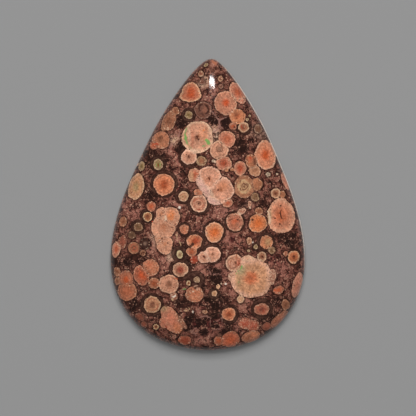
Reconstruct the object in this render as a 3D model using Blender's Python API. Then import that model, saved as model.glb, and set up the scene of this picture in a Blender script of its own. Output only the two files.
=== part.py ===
"""A pear-shaped cabochon of poppy jasper, lying on its flat back with its dome up.

Metres, +Z up. +Y runs from the broad end to the tip, and the origin is on the flat back, in
the middle of the stone's length and width. From the back up, the stone has a narrow bevel, a
short upright girdle, a second narrow bevel, and a low dome that falls away in a soft crest
towards the tip. It is one solid piece. The orbs and veins are colour alone, so they have no
relief.
"""

import math

import bmesh
import bpy
import numpy as np

MM = 0.001

THICKNESS = 6.0 * MM
GIRDLE_TOP = 1.55 * MM
BACK_BEVEL_WIDTH = 0.35 * MM
BACK_BEVEL_RISE = 0.35 * MM
FRONT_BEVEL_WIDTH = 0.22 * MM
FRONT_BEVEL_RISE = 0.35 * MM

# The right half of the outline, as (half width, place along the stone) in millimetres, from
# the middle of the broad end to the tip. The left half mirrors it.
HALF_OUTLINE = (
    (0.0, -22.5),
    (3.7, -22.1),
    (7.0, -21.1),
    (9.9, -19.4),
    (12.2, -17.0),
    (14.1, -13.6),
    (15.0, -8.6),
    (14.4, -3.3),
    (12.85, 1.9),
    (10.75, 6.9),
    (8.4, 11.9),
    (5.5, 16.8),
    (3.75, 19.3),
    (1.85, 21.45),
    (0.0, 22.5),
)
STEPS_PER_SPAN = 4

# The dome's sections shrink towards the point under its highest spot, which lies over the
# broad end.
SUMMIT_Y = -4.5 * MM
DOME_RINGS = 16
SMALLEST_RING = 0.07
SECTION_POWER = 2.15
HEIGHT_POWER = 0.68

SHARP_EDGE = math.radians(20.0)

STONE_COLOUR = (0.225, 0.07, 0.045, 1.0)
STONE_ROUGHNESS = 0.12


def clear_scene():
    for scene_object in list(bpy.data.objects):
        bpy.data.objects.remove(scene_object, do_unlink=True)


def collection_named(name):
    collection = bpy.data.collections.new(name)
    bpy.context.scene.collection.children.link(collection)
    return collection


def smooth_loop(points, steps):
    """Points on the closed cubic spline through the given ones, with even slope and bend."""
    count = len(points)
    following = np.roll(points, -1, axis=0)
    spans = np.linalg.norm(following - points, axis=1)
    before = np.roll(spans, 1)
    system = np.zeros((count, count))
    target = np.zeros((count, 2))
    for i in range(count):
        system[i, i - 1] += before[i]
        system[i, i] += 2.0 * (before[i] + spans[i])
        system[i, (i + 1) % count] += spans[i]
        rise_after = (following[i] - points[i]) / spans[i]
        rise_before = (points[i] - points[i - 1]) / before[i]
        target[i] = 6.0 * (rise_after - rise_before)
    bend = np.linalg.solve(system, target)
    next_bend = np.roll(bend, -1, axis=0)
    loop = []
    for i in range(count):
        for k in range(steps):
            along = k / steps
            left = 1.0 - along
            bending = (left ** 3 - left) * bend[i] + (along ** 3 - along) * next_bend[i]
            chord = left * points[i] + along * following[i]
            loop.append(chord + bending * spans[i] ** 2 / 6.0)
    return np.array(loop)


def girdle_outline():
    """The stone's outline seen from above, counter-clockwise from the broad end."""
    right = np.array(HALF_OUTLINE) * MM
    left = right[-2:0:-1] * (-1.0, 1.0)
    return smooth_loop(np.vstack((right, left)), STEPS_PER_SPAN)


def inset(outline, width):
    """The outline moved in by a constant width."""
    along = np.roll(outline, -1, axis=0) - np.roll(outline, 1, axis=0)
    along /= np.linalg.norm(along, axis=1)[:, None]
    inward = np.column_stack((-along[:, 1], along[:, 0]))
    return outline + inward * width


def at_height(outline, height):
    return np.column_stack((outline, np.full(len(outline), height)))


def dome_rings(edge, foot):
    """The dome's sections, from just above its edge to a small ring round its summit."""
    summit = np.array((0.0, SUMMIT_Y))
    rise = THICKNESS - foot
    rings = []
    for k in range(1, DOME_RINGS + 1):
        turn = 0.5 * math.pi * k / DOME_RINGS
        share = max(math.cos(turn), SMALLEST_RING)
        height = foot + rise * (1.0 - share ** SECTION_POWER) ** HEIGHT_POWER
        rings.append(at_height(summit + (edge - summit) * share, height))
    return rings


def loft(mesh, rings, summit):
    """A closed body: one flat face at the first ring, drawn out through the others."""
    shape = bmesh.new()
    station = shape.verts.layers.int.new("station")
    for i, place in enumerate(rings[0]):
        vertex = shape.verts.new(place)
        vertex[station] = i
    back = shape.faces.new(shape.verts)
    face = back
    for ring in rings[1:]:
        drawn = bmesh.ops.extrude_face_region(shape, geom=[face])["geom"]
        if face != back:
            bmesh.ops.delete(shape, geom=[face], context="FACES_ONLY")
        face = next(item for item in drawn if isinstance(item, bmesh.types.BMFace))
        for vertex in face.verts:
            vertex.co = ring[vertex[station]]
    centre = bmesh.ops.poke(shape, faces=[face])["verts"][0]
    centre.co = summit
    bmesh.ops.recalc_face_normals(shape, faces=shape.faces)
    shape.to_mesh(mesh)
    shape.free()


def stone_material():
    material = bpy.data.materials.new("polished_jasper")
    material.use_nodes = True
    shader = material.node_tree.nodes["Principled BSDF"]
    shader.inputs["Base Color"].default_value = STONE_COLOUR
    shader.inputs["Roughness"].default_value = STONE_ROUGHNESS
    shader.inputs["Metallic"].default_value = 0.0
    return material


def make_cabochon(collection):
    girdle = girdle_outline()
    dome_foot = GIRDLE_TOP + FRONT_BEVEL_RISE
    dome_edge = inset(girdle, FRONT_BEVEL_WIDTH)
    rings = [
        at_height(inset(girdle, BACK_BEVEL_WIDTH), 0.0),
        at_height(girdle, BACK_BEVEL_RISE),
        at_height(girdle, GIRDLE_TOP),
        at_height(dome_edge, dome_foot),
    ]
    rings += dome_rings(dome_edge, dome_foot)
    mesh = bpy.data.meshes.new("cabochon")
    loft(mesh, rings, (0.0, SUMMIT_Y, THICKNESS))
    mesh.shade_smooth()
    mesh.set_sharp_from_angle(angle=SHARP_EDGE)
    mesh.materials.append(stone_material())
    stone = bpy.data.objects.new("cabochon", mesh)
    collection.objects.link(stone)
    return stone


clear_scene()
make_cabochon(collection_named("poppy_jasper_cabochon"))
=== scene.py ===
"""A pear-shaped cabochon of poppy jasper on a pale grey ground, seen from straight above.

The stone is one piece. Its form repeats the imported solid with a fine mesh. Its pattern is a set
of orbs with their centres on the polished face, each with a core, a body, a rim and a dark
halo, in a mottled ground. The mesh carries the smooth facts about the nearest orb, and the
material's nodes turn them into colour, gloss and fine relief.
"""

import math
import random

import bpy
import numpy as np
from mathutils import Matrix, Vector


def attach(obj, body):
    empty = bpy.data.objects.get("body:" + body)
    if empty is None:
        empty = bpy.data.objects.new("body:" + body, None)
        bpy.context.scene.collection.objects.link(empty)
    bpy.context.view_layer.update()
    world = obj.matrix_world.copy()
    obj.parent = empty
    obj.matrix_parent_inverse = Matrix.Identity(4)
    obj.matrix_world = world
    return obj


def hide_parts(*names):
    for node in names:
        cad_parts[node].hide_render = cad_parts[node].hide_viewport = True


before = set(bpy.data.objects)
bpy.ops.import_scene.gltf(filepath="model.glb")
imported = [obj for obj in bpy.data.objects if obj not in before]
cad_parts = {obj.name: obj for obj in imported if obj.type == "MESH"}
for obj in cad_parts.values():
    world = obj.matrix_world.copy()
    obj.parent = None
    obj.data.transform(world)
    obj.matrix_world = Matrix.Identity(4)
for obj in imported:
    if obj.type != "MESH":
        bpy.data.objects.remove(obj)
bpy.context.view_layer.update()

MM = 0.001

# The form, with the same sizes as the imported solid.
THICKNESS = 6.0
GIRDLE_TOP = 1.55
BACK_BEVEL_WIDTH = 0.35
BACK_BEVEL_RISE = 0.35
FRONT_BEVEL_WIDTH = 0.22
FRONT_BEVEL_RISE = 0.35
HALF_OUTLINE = (
    (0.0, -22.5),
    (3.7, -22.1),
    (7.0, -21.1),
    (9.9, -19.4),
    (12.2, -17.0),
    (14.1, -13.6),
    (15.0, -8.6),
    (14.4, -3.3),
    (12.85, 1.9),
    (10.75, 6.9),
    (8.4, 11.9),
    (5.5, 16.8),
    (3.75, 19.3),
    (1.85, 21.45),
    (0.0, 22.5),
)
SUMMIT = np.array((0.0, -4.5))
SECTION_POWER = 2.15
HEIGHT_POWER = 0.68

# The mesh: cells along one side of the face's grid, and rows of cells down the girdle. The
# back has half as many cells a side, so two of the girdle's meet one of its own.
FACE_CELLS = 256
BACK_CELLS = FACE_CELLS // 2
GIRDLE_ROWS = 3
FACE_MIDDLE = np.array((0.0, -1.0))
OUTLINE_STEPS = 90
SHARP_EDGE = math.radians(20.0)


def colour(red, green, blue):
    """A display colour, each part from 0 to 255, as linear light."""
    shares = np.array((red, green, blue)) / 255.0
    return np.where(shares <= 0.04045, shares / 12.92, ((shares + 0.055) / 1.055) ** 2.4)


# Each kind of orb: the colours of its core, body and rim, how far out the core reaches as a
# share of the radius, the widths of the rim and of the dark halo in millimetres, and how
# flecked and how ringed the body is.
KINDS = {
    "orange": ((150, 70, 40), (200, 122, 86), (206, 148, 116), 0.48, 0.25, 0.38, 0.05, 0.03),
    "ember": ((176, 76, 38), (200, 128, 96), (206, 156, 128), 0.44, 0.34, 0.38, 0.05, 0.03),
    "amber": ((156, 80, 50), (168, 102, 74), (182, 128, 98), 0.55, 0.22, 0.49, 0.05, 0.03),
    "coral": ((168, 84, 56), (188, 120, 94), (194, 142, 114), 0.50, 0.22, 0.32, 0.05, 0.03),
    "red": ((150, 68, 46), (160, 88, 66), (152, 98, 78), 0.60, 0.15, 0.25, 0.05, 0.03),
    "blush": ((132, 80, 58), (196, 138, 110), (206, 164, 134), 0.20, 0.45, 0.16, 0.15, 0.02),
    "pink": ((150, 98, 72), (204, 143, 115), (224, 174, 148), 0.20, 0.30, 0.31, 0.05, 0.02),
    "peach": ((146, 96, 72), (194, 136, 108), (208, 158, 128), 0.32, 0.25, 0.34, 0.08, 0.04),
    "pearl": ((160, 104, 80), (198, 138, 110), (220, 174, 144), 0.26, 0.26, 0.40, 0.08, 0.08),
    "salmon": ((166, 98, 72), (165, 104, 80), (160, 108, 84), 0.40, 0.20, 0.25, 0.05, 0.03),
    "merge": ((194, 126, 92), (196, 136, 107), (200, 148, 120), 0.30, 0.20, 0.25, 0.25, 0.02),
    "giant": ((210, 104, 60), (196, 140, 104), (212, 160, 134), 0.32, 0.80, 0.16, 0.10, 0.02),
    "poppy": ((196, 100, 62), (204, 133, 102), (200, 148, 120), 0.46, 0.72, 0.24, 0.10, 0.04),
    "tan": ((142, 92, 66), (172, 120, 90), (186, 138, 110), 0.40, 0.25, 0.31, 0.10, 0.03),
    "tanring": ((204, 158, 116), (158, 104, 76), (148, 100, 76), 0.60, 0.30, 0.31, 0.10, 0.04),
    "brown": ((124, 74, 52), (150, 96, 70), (168, 118, 90), 0.45, 0.20, 0.27, 0.10, 0.03),
    "cream": ((176, 124, 88), (198, 150, 116), (206, 166, 134), 0.30, 0.20, 0.40, 0.05, 0.05),
    "ring": ((124, 70, 48), (176, 126, 96), (206, 164, 132), 0.50, 0.24, 0.38, 0.05, 0.07),
    "rust": ((130, 70, 52), (184, 128, 100), (204, 158, 128), 0.46, 0.28, 0.40, 0.08, 0.05),
    "lemon": ((140, 124, 84), (192, 168, 124), (206, 180, 140), 0.30, 0.20, 0.58, 0.05, 0.03),
    "olive": ((116, 92, 56), (150, 122, 86), (172, 142, 112), 0.45, 0.20, 0.36, 0.05, 0.04),
    "bronze": ((112, 80, 54), (138, 104, 76), (160, 126, 98), 0.45, 0.20, 0.36, 0.05, 0.05),
    "dimolive": ((84, 58, 42), (104, 76, 56), (118, 88, 68), 0.50, 0.20, 0.29, 0.02, 0.03),
    "dim": ((104, 68, 56), (106, 68, 55), (142, 102, 86), 0.60, 0.20, 0.27, 0.02, 0.09),
    "dimtan": ((104, 68, 54), (132, 88, 68), (146, 104, 84), 0.50, 0.25, 0.27, 0.05, 0.03),
    "dimred": ((142, 78, 60), (132, 78, 60), (142, 94, 78), 0.60, 0.16, 0.20, 0.02, 0.05),
    "black": ((112, 84, 72), (60, 38, 31), (44, 27, 22), 0.42, 0.22, 0.20, 0.00, 0.03),
    "chalk": ((150, 130, 110), (172, 150, 128), (156, 128, 106), 0.50, 0.15, 0.24, 0.00, 0.03),
    "mottle": ((158, 104, 78), (146, 92, 72), (130, 88, 70), 0.50, 0.20, 0.14, 0.55, 0.03),
    "tangerine": ((194, 98, 52), (200, 120, 78), (196, 142, 110), 0.50, 0.20, 0.36, 0.05, 0.02),
    "glow": ((194, 90, 44), (204, 132, 92), (210, 158, 128), 0.52, 0.25, 0.36, 0.05, 0.02),
    "nut": ((112, 62, 42), (172, 114, 78), (212, 178, 138), 0.55, 0.20, 0.34, 0.03, 0.05),
    "umber": ((148, 70, 40), (168, 102, 76), (156, 104, 84), 0.42, 0.22, 0.28, 0.05, 0.06),
    "clay": ((176, 86, 54), (174, 104, 78), (166, 108, 84), 0.50, 0.22, 0.28, 0.05, 0.03),
    "faded": ((180, 108, 78), (180, 112, 82), (166, 108, 84), 0.50, 0.22, 0.28, 0.20, 0.06),
    "wheat": ((172, 118, 76), (186, 130, 94), (204, 160, 126), 0.45, 0.35, 0.24, 0.30, 0.04),
    "russet": ((164, 104, 74), (164, 104, 74), (170, 120, 90), 0.45, 0.20, 0.24, 0.05, 0.03),
    "blood": ((156, 64, 42), (150, 66, 46), (144, 76, 58), 0.60, 0.16, 0.22, 0.03, 0.02),
    "ringlet": ((116, 66, 50), (138, 94, 72), (184, 142, 114), 0.45, 0.16, 0.30, 0.00, 0.03),
    "apricot": ((178, 96, 62), (190, 120, 84), (178, 124, 96), 0.42, 0.20, 0.36, 0.05, 0.02),
    "dimring": ((118, 84, 62), (132, 98, 78), (138, 106, 88), 0.50, 0.25, 0.27, 0.02, 0.09),
    "buff": ((156, 100, 72), (176, 112, 82), (168, 114, 90), 0.40, 0.22, 0.30, 0.05, 0.03),
    "rose": ((216, 168, 152), (206, 156, 140), (204, 158, 138), 0.20, 0.30, 0.20, 0.20, 0.02),
    "sand": ((166, 128, 94), (176, 140, 110), (166, 132, 104), 0.40, 0.20, 0.36, 0.03, 0.03),
    "sunset": ((188, 112, 86), (186, 118, 92), (168, 110, 84), 0.50, 0.25, 0.22, 0.10, 0.02),
    "coralmix": ((172, 80, 58), (164, 88, 66), (140, 86, 68), 0.50, 0.20, 0.14, 0.42, 0.03),
    "fire": ((186, 90, 58), (178, 100, 74), (162, 106, 82), 0.60, 0.22, 0.25, 0.05, 0.02),
    "sideglow": ((186, 116, 92), (190, 126, 102), (178, 122, 100), 0.50, 0.25, 0.24, 0.06, 0.02),
    "target": ((124, 66, 42), (188, 110, 72), (210, 162, 126), 0.42, 0.28, 0.42, 0.05, 0.05),
    "bran": ((126, 76, 56), (186, 132, 98), (202, 158, 124), 0.45, 0.28, 0.40, 0.08, 0.05),
    "heart": ((182, 78, 44), (182, 120, 94), (190, 138, 112), 0.32, 0.24, 0.32, 0.05, 0.03),
    "brick": ((176, 98, 68), (172, 104, 76), (180, 122, 92), 0.50, 0.25, 0.24, 0.05, 0.06),
    "bullseye": ((118, 60, 46), (172, 104, 80), (174, 120, 96), 0.52, 0.28, 0.50, 0.08, 0.06),
    "fringe": ((168, 112, 88), (170, 116, 94), (190, 142, 118), 0.50, 0.20, 0.14, 0.60, 0.05),
    "flame": ((192, 84, 50), (172, 96, 70), (182, 122, 96), 0.40, 0.26, 0.28, 0.05, 0.08),
    "hood": ((168, 74, 42), (176, 106, 78), (204, 156, 122), 0.46, 0.34, 0.38, 0.05, 0.03),
}

# Tones of the ground: its darker and its lighter part, and how far it leans to the lighter.
GROUNDS = {
    "plain": ((86, 46, 37), (146, 91, 76), 0.0),
    "dark": ((56, 30, 23), (100, 60, 48), -0.24),
    "mauve": ((106, 60, 50), (160, 104, 89), 0.20),
    "pink": ((124, 72, 60), (176, 118, 100), 0.26),
    "cream": ((136, 90, 72), (206, 164, 138), 0.34),
    "grey": ((88, 60, 50), (146, 110, 94), 0.08),
    "dim": ((96, 56, 45), (146, 98, 81), 0.10),
    "void": ((40, 24, 20), (74, 44, 38), -0.55),
    "maroon": ((74, 32, 29), (134, 70, 62), -0.06),
}

# The orbs on the polished face, in millimetres from the middle of the stone: across, along,
# half width, half length, lean to the right in degrees, and kind.
ORBS = (
    (-0.85, 21.45, 0.4, 0.25, -31, "olive"),
    (-1.6, 20.05, 0.4, 0.5, 0, "ringlet"),
    (1.4, 19.35, 0.4, 0.45, 0, "ringlet"),
    (1.5, 18.1, 0.35, 0.35, 0, "dim"),
    (-1.4, 18.75, 0.45, 0.4, 0, "dim"),
    (-3.1, 17.3, 1.35, 1.4, 0, "hood"),
    (-3.1, 16.7, 1.65, 1.1, -4, "hood"),
    (2.3, 15.55, 1.75, 1.85, 0, "heart"),
    (4.1, 17.35, 1.2, 1.6, -29, "coral"),
    (4.75, 16.2, 0.65, 0.7, 0, "sideglow"),
    (-1.15, 14.35, 1.3, 1.3, 0, "dim"),
    (-3.3, 13.6, 0.6, 0.6, 0, "olive"),
    (4.1, 13.55, 1.25, 1.2, 0, "apricot"),
    (3.45, 12.0, 0.6, 0.6, 0, "clay"),
    (5.1, 11.9, 0.8, 0.8, 0, "ring"),
    (7.35, 11.75, 0.65, 0.75, 0, "dimring"),
    (6.0, 13.7, 0.2, 0.2, 0, "olive"),
    (5.65, 13.15, 0.25, 0.25, 0, "olive"),
    (-6.35, 12.7, 1.0, 1.6, 19, "brown"),
    (-6.95, 11.85, 0.6, 0.75, 19, "brown"),
    (-5.4, 14.2, 0.6, 0.65, 14, "brown"),
    (-7.55, 9.7, 1.4, 1.35, -21, "buff"),
    (-8.5, 9.0, 0.75, 0.75, 0, "fire"),
    (-1.9, 10.2, 2.45, 2.4, 0, "blush"),
    (-3.15, 7.15, 1.2, 1.15, 0, "pink"),
    (2.55, 9.95, 1.3, 1.3, 0, "coral"),
    (1.4, 8.3, 1.4, 1.4, 0, "peach"),
    (2.15, 6.3, 1.2, 1.1, 0, "coral"),
    (2.55, 5.35, 0.4, 0.35, 0, "russet"),
    (3.45, 5.4, 0.3, 0.3, 0, "russet"),
    (-1.25, 6.55, 0.8, 0.75, 0, "bronze"),
    (-7.85, 5.95, 0.75, 0.85, 0, "olive"),
    (-10.45, 5.7, 0.5, 0.75, 0, "olive"),
    (8.55, 7.75, 1.65, 2.25, -6, "ember"),
    (6.35, 6.7, 0.9, 1.1, -11, "russet"),
    (6.9, 5.25, 0.95, 0.8, 0, "tan"),
    (4.65, 5.6, 0.95, 1.1, 0, "coral"),
    (8.95, 4.75, 0.35, 0.4, 0, "chalk"),
    (0.55, 6.6, 0.3, 0.25, 0, "chalk"),
    (-11.2, 2.5, 1.25, 2.0, 11, "wheat"),
    (-6.9, 2.9, 1.6, 1.65, 0, "orange"),
    (-2.25, 4.4, 1.0, 1.05, 0, "coral"),
    (0.0, 3.85, 1.9, 1.9, 0, "pink"),
    (1.75, 2.2, 2.0, 2.0, 0, "pink"),
    (-0.8, 2.85, 0.85, 2.2, -32, "rose"),
    (0.85, 0.6, 1.15, 0.65, 13, "rose"),
    (5.35, 2.8, 1.55, 1.75, 0, "tanring"),
    (7.25, 3.2, 0.85, 0.95, 0, "russet"),
    (-3.85, 1.15, 0.75, 0.8, 0, "cream"),
    (-1.5, 0.15, 1.25, 1.35, 0, "pearl"),
    (-1.6, 1.75, 0.7, 0.6, 0, "faded"),
    (2.9, 0.25, 0.8, 0.6, -21, "coral"),
    (7.0, 1.25, 0.65, 0.65, 0, "bronze"),
    (10.2, 1.9, 0.75, 0.75, 0, "ring"),
    (11.25, 1.75, 0.5, 0.6, 0, "russet"),
    (11.7, 3.85, 0.5, 1.45, -21, "sideglow"),
    (11.1, -1.55, 2.2, 2.65, -7, "poppy"),
    (-8.75, -0.45, 0.7, 0.8, 0, "clay"),
    (-9.3, -2.05, 0.7, 0.75, 0, "nut"),
    (-13.1, -2.9, 0.6, 0.8, 9, "brown"),
    (-10.7, -3.65, 0.7, 0.65, 0, "bronze"),
    (-11.65, -4.9, 0.6, 0.6, 0, "dimolive"),
    (-13.15, -6.0, 0.7, 1.05, 4, "dimred"),
    (-14.1, -7.15, 0.7, 1.25, 7, "coral"),
    (-11.3, -6.85, 0.9, 0.9, 0, "brown"),
    (-9.9, -7.6, 0.45, 0.45, 0, "brown"),
    (-9.55, -6.15, 0.85, 0.85, 0, "black"),
    (-5.9, -2.1, 1.6, 1.6, 0, "merge"),
    (-6.8, -3.6, 1.85, 1.9, 9, "merge"),
    (-7.15, -1.55, 0.85, 1.0, 19, "merge"),
    (-7.35, -5.3, 0.75, 0.9, 0, "merge"),
    (-6.6, -6.15, 1.25, 1.55, 0, "merge"),
    (-3.65, -3.8, 0.7, 0.75, -16, "faded"),
    (-2.05, -5.65, 1.15, 1.1, 0, "orange"),
    (0.9, -4.2, 1.4, 1.5, 0, "glow"),
    (4.0, -2.6, 1.25, 1.4, -16, "coral"),
    (7.5, -2.7, 1.4, 1.4, 0, "tangerine"),
    (7.65, -0.9, 0.6, 0.6, 0, "brown"),
    (6.25, -5.4, 0.4, 0.6, 0, "tan"),
    (7.25, -6.3, 0.35, 0.35, 0, "olive"),
    (8.85, -5.55, 1.0, 1.0, 0, "apricot"),
    (9.7, -6.8, 0.55, 0.55, 0, "bronze"),
    (-4.25, -7.65, 0.45, 0.6, 0, "lemon"),
    (-2.45, -7.15, 0.8, 0.75, 0, "amber"),
    (-2.05, -8.4, 0.6, 0.65, 0, "blood"),
    (0.7, -7.55, 1.2, 1.2, 0, "pink"),
    (-0.55, -8.0, 0.95, 0.9, 0, "pink"),
    (4.1, -8.85, 1.3, 1.35, 0, "pearl"),
    (6.7, -11.1, 3.1, 3.05, 0, "giant"),
    (9.8, -10.9, 0.65, 1.25, 9, "fringe"),
    (3.6, -10.9, 0.5, 0.7, 0, "fringe"),
    (6.1, -8.2, 0.95, 0.6, 0, "blush"),
    (8.2, -7.75, 0.7, 0.75, 0, "ring"),
    (13.15, -7.8, 0.9, 1.0, 0, "target"),
    (-4.1, -9.95, 1.2, 1.05, -11, "rust"),
    (-8.7, -9.8, 1.35, 1.3, 0, "faded"),
    (-10.05, -11.0, 1.2, 1.55, -15, "flame"),
    (-8.1, -12.15, 0.85, 0.85, 0, "amber"),
    (-5.85, -12.2, 1.5, 1.45, 0, "peach"),
    (-5.05, -14.1, 0.6, 0.65, 0, "mottle"),
    (-12.45, -11.7, 1.15, 1.4, -6, "umber"),
    (-12.3, -13.55, 1.55, 1.45, 0, "brick"),
    (-13.9, -10.6, 0.55, 0.7, 0, "brown"),
    (-13.85, -12.05, 0.45, 0.6, 0, "brown"),
    (-1.6, -11.45, 0.5, 0.45, 0, "sand"),
    (-2.85, -11.95, 0.35, 0.35, 0, "nut"),
    (-1.9, -13.65, 1.4, 1.25, 0, "faded"),
    (-1.55, -12.6, 0.55, 0.4, 0, "mottle"),
    (1.1, -13.5, 0.45, 0.45, 0, "wheat"),
    (1.65, -12.45, 0.3, 0.35, 19, "wheat"),
    (-0.25, -16.35, 0.45, 0.3, 0, "tan"),
    (-8.35, -15.45, 1.3, 1.3, 0, "bran"),
    (-5.35, -17.75, 1.35, 2.4, -34, "sunset"),
    (-6.5, -18.15, 0.75, 0.9, 0, "sunset"),
    (-3.85, -18.0, 0.45, 1.35, -36, "mottle"),
    (-3.3, -20.9, 1.05, 0.75, 0, "red"),
    (-10.25, -17.45, 0.85, 0.5, 31, "dimred"),
    (-9.6, -18.65, 0.55, 0.5, 29, "dimred"),
    (-7.75, -18.9, 0.45, 0.45, 0, "nut"),
    (-3.15, -16.15, 0.4, 0.3, 0, "mottle"),
    (5.1, -14.3, 0.55, 0.6, 0, "cream"),
    (3.35, -16.65, 1.05, 1.0, 0, "orange"),
    (8.35, -15.85, 1.2, 0.9, 0, "bullseye"),
    (10.9, -12.85, 0.85, 0.65, -16, "clay"),
    (13.9, -12.15, 0.85, 2.0, 13, "sideglow"),
    (12.1, -15.15, 0.65, 0.85, -21, "brown"),
    (11.15, -17.5, 0.75, 1.85, 47, "salmon"),
    (9.3, -18.55, 0.85, 0.65, -16, "dimred"),
    (5.9, -18.05, 1.05, 0.9, 0, "coralmix"),
    (7.1, -18.4, 1.05, 0.9, 0, "coralmix"),
    (6.85, -20.25, 1.5, 0.95, -19, "faded"),
    (3.7, -20.65, 1.5, 1.25, -29, "fire"),
    (1.9, -20.9, 0.75, 0.75, 0, "clay"),
    (5.0, -0.95, 0.7, 0.45, -33, "fringe"),
    (6.2, 0.2, 0.3, 0.5, 0, "fringe"),
    (6.15, -6.9, 0.2, 0.2, 0, "olive"),
    (11.85, -7.3, 0.35, 0.4, 0, "salmon"),
)

# Soft patches of the ground: across, along, half width and half length, and tone.
PATCHES = (
    (-4.4, 12.5, 0.7, 0.8, "dark"),
    (-4.6, 8.7, 0.6, 0.9, "dark"),
    (2.3, 12.4, 0.7, 0.8, "dark"),
    (0.4, 13.0, 0.8, 0.8, "dark"),
    (4.7, 8.8, 1.1, 1.4, "dark"),
    (-8.9, 7.7, 1.2, 0.8, "dark"),
    (-6.7, 7.1, 0.8, 1.4, "dark"),
    (-9.4, 6.2, 0.6, 0.8, "dark"),
    (-4.2, 4.2, 0.9, 1.2, "dark"),
    (-4.8, 6.7, 0.8, 0.9, "mauve"),
    (-5.5, 9.6, 0.8, 0.9, "cream"),
    (-6.1, 8.2, 0.8, 0.9, "mauve"),
    (-9.0, 1.1, 1.2, 0.8, "dark"),
    (-4.9, 4.2, 0.8, 0.9, "mauve"),
    (-5.0, -0.2, 1.1, 0.8, "mauve"),
    (6.9, 11.4, 0.9, 1.1, "grey"),
    (8.0, 10.7, 0.8, 0.8, "grey"),
    (-0.8, 12.2, 0.9, 0.6, "mauve"),
    (0.6, 11.6, 0.8, 0.6, "cream"),
    (0.3, 17.2, 0.8, 0.6, "mauve"),
    (-1.0, 16.2, 0.9, 0.6, "mauve"),
    (0.4, 20.7, 1.1, 0.9, "dim"),
    (-1.4, 18.4, 0.8, 0.6, "cream"),
    (2.6, -0.8, 1.4, 0.8, "mauve"),
    (1.0, -1.3, 1.2, 0.8, "mauve"),
    (3.5, -5.2, 1.2, 1.2, "pink"),
    (9.8, -8.7, 1.4, 1.1, "mauve"),
    (3.2, -13.4, 1.2, 1.2, "mauve"),
    (5.6, -15.0, 0.9, 0.8, "pink"),
    (1.1, -10.2, 1.4, 1.1, "dark"),
    (2.3, -14.5, 1.1, 1.2, "dark"),
    (-0.4, -17.9, 1.5, 1.4, "dark"),
    (-0.9, -21.0, 1.2, 0.6, "mauve"),
    (-2.5, -19.1, 0.8, 0.6, "dark"),
    (0.6, -19.6, 1.4, 1.1, "mauve"),
    (2.4, -19.1, 0.9, 0.9, "dark"),
    (-1.8, -17.3, 0.8, 1.4, "dark"),
    (-6.5, -8.9, 1.1, 1.1, "mauve"),
    (-5.6, -7.9, 0.6, 0.9, "cream"),
    (-10.3, -8.4, 1.4, 0.8, "dark"),
    (11.7, -4.6, 1.1, 0.9, "dark"),
    (12.8, -5.7, 0.9, 1.1, "dark"),
    (11.7, -9.8, 1.2, 1.2, "mauve"),
    (10.5, -14.4, 1.1, 0.9, "dark"),
    (5.2, -0.1, 0.8, 0.6, "dark"),
    (5.0, -0.9, 0.6, 0.8, "grey"),
    (6.1, 0.2, 0.5, 0.8, "grey"),
    (8.2, 0.2, 0.9, 0.6, "dark"),
    (-12.6, -9.0, 1.2, 0.8, "dark"),
    (-11.4, -1.5, 1.1, 1.1, "mauve"),
    (-12.7, -0.3, 0.8, 0.9, "mauve"),
    (-14.2, -9.1, 0.8, 0.8, "dark"),
    (-8.4, -5.9, 0.6, 1.2, "cream"),
    (-8.8, -6.6, 0.8, 1.1, "mauve"),
    (-4.6, -5.3, 0.5, 1.1, "mauve"),
    (-0.8, -3.3, 0.9, 0.8, "mauve"),
    (-0.8, -9.9, 1.2, 0.9, "mauve"),
    (2.7, -10.9, 0.9, 0.9, "mauve"),
    (-7.1, -17.0, 1.1, 0.9, "dark"),
    (-9.1, -16.8, 0.9, 0.8, "mauve"),
    (-11.0, -15.6, 0.9, 0.9, "dark"),
    (9.4, -17.1, 1.2, 0.9, "dark"),
    (3.9, -18.5, 0.9, 0.8, "dark"),
    (4.8, -18.6, 0.8, 0.8, "mauve"),
    (1.2, -9.8, 0.8, 0.5, "void"),
    (1.5, -11.4, 0.8, 0.8, "void"),
    (0.0, -14.7, 0.7, 0.7, "void"),
    (1.2, -15.5, 0.6, 0.7, "void"),
    (1.3, -17.0, 0.7, 0.6, "void"),
    (-0.1, -17.8, 0.9, 0.6, "void"),
    (1.5, -18.5, 0.6, 0.5, "void"),
    (-0.3, -19.4, 0.6, 0.5, "void"),
    (-2.7, -18.0, 0.6, 0.9, "void"),
    (3.0, -19.1, 0.6, 0.6, "void"),
    (-0.6, -12.5, 0.4, 0.4, "void"),
    (0.5, 12.8, 0.6, 0.7, "void"),
    (2.4, 12.5, 0.6, 0.7, "void"),
    (-4.4, 12.4, 0.7, 0.7, "void"),
    (-4.6, 8.7, 0.5, 0.8, "void"),
    (-1.0, -16.4, 0.8, 0.9, "mauve"),
    (2.2, -17.9, 0.5, 1.2, "mauve"),
    (0.5, 21.8, 0.6, 0.5, "pink"),
    (-0.9, 19.0, 0.5, 0.8, "cream"),
    (0.9, 10.4, 0.5, 0.9, "cream"),
    (0.8, -18.2, 1.2, 0.8, "maroon"),
    (2.5, -17.3, 0.6, 1.1, "maroon"),
    (-0.6, -15.3, 0.9, 0.6, "maroon"),
    (10.5, -8.0, 1.2, 0.8, "maroon"),
    (-1.6, -18.4, 0.6, 0.8, "maroon"),
    (3.8, -5.3, 0.8, 0.6, "maroon"),
    (-4.7, 2.1, 0.8, 0.9, "maroon"),
    (-3.0, -14.9, 0.8, 0.8, "dark"),
    (-4.1, -15.1, 0.8, 0.8, "dark"),
    (-3.0, -8.9, 0.8, 0.8, "dark"),
    (1.7, -9.3, 1.1, 0.6, "mauve"),
)


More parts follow.
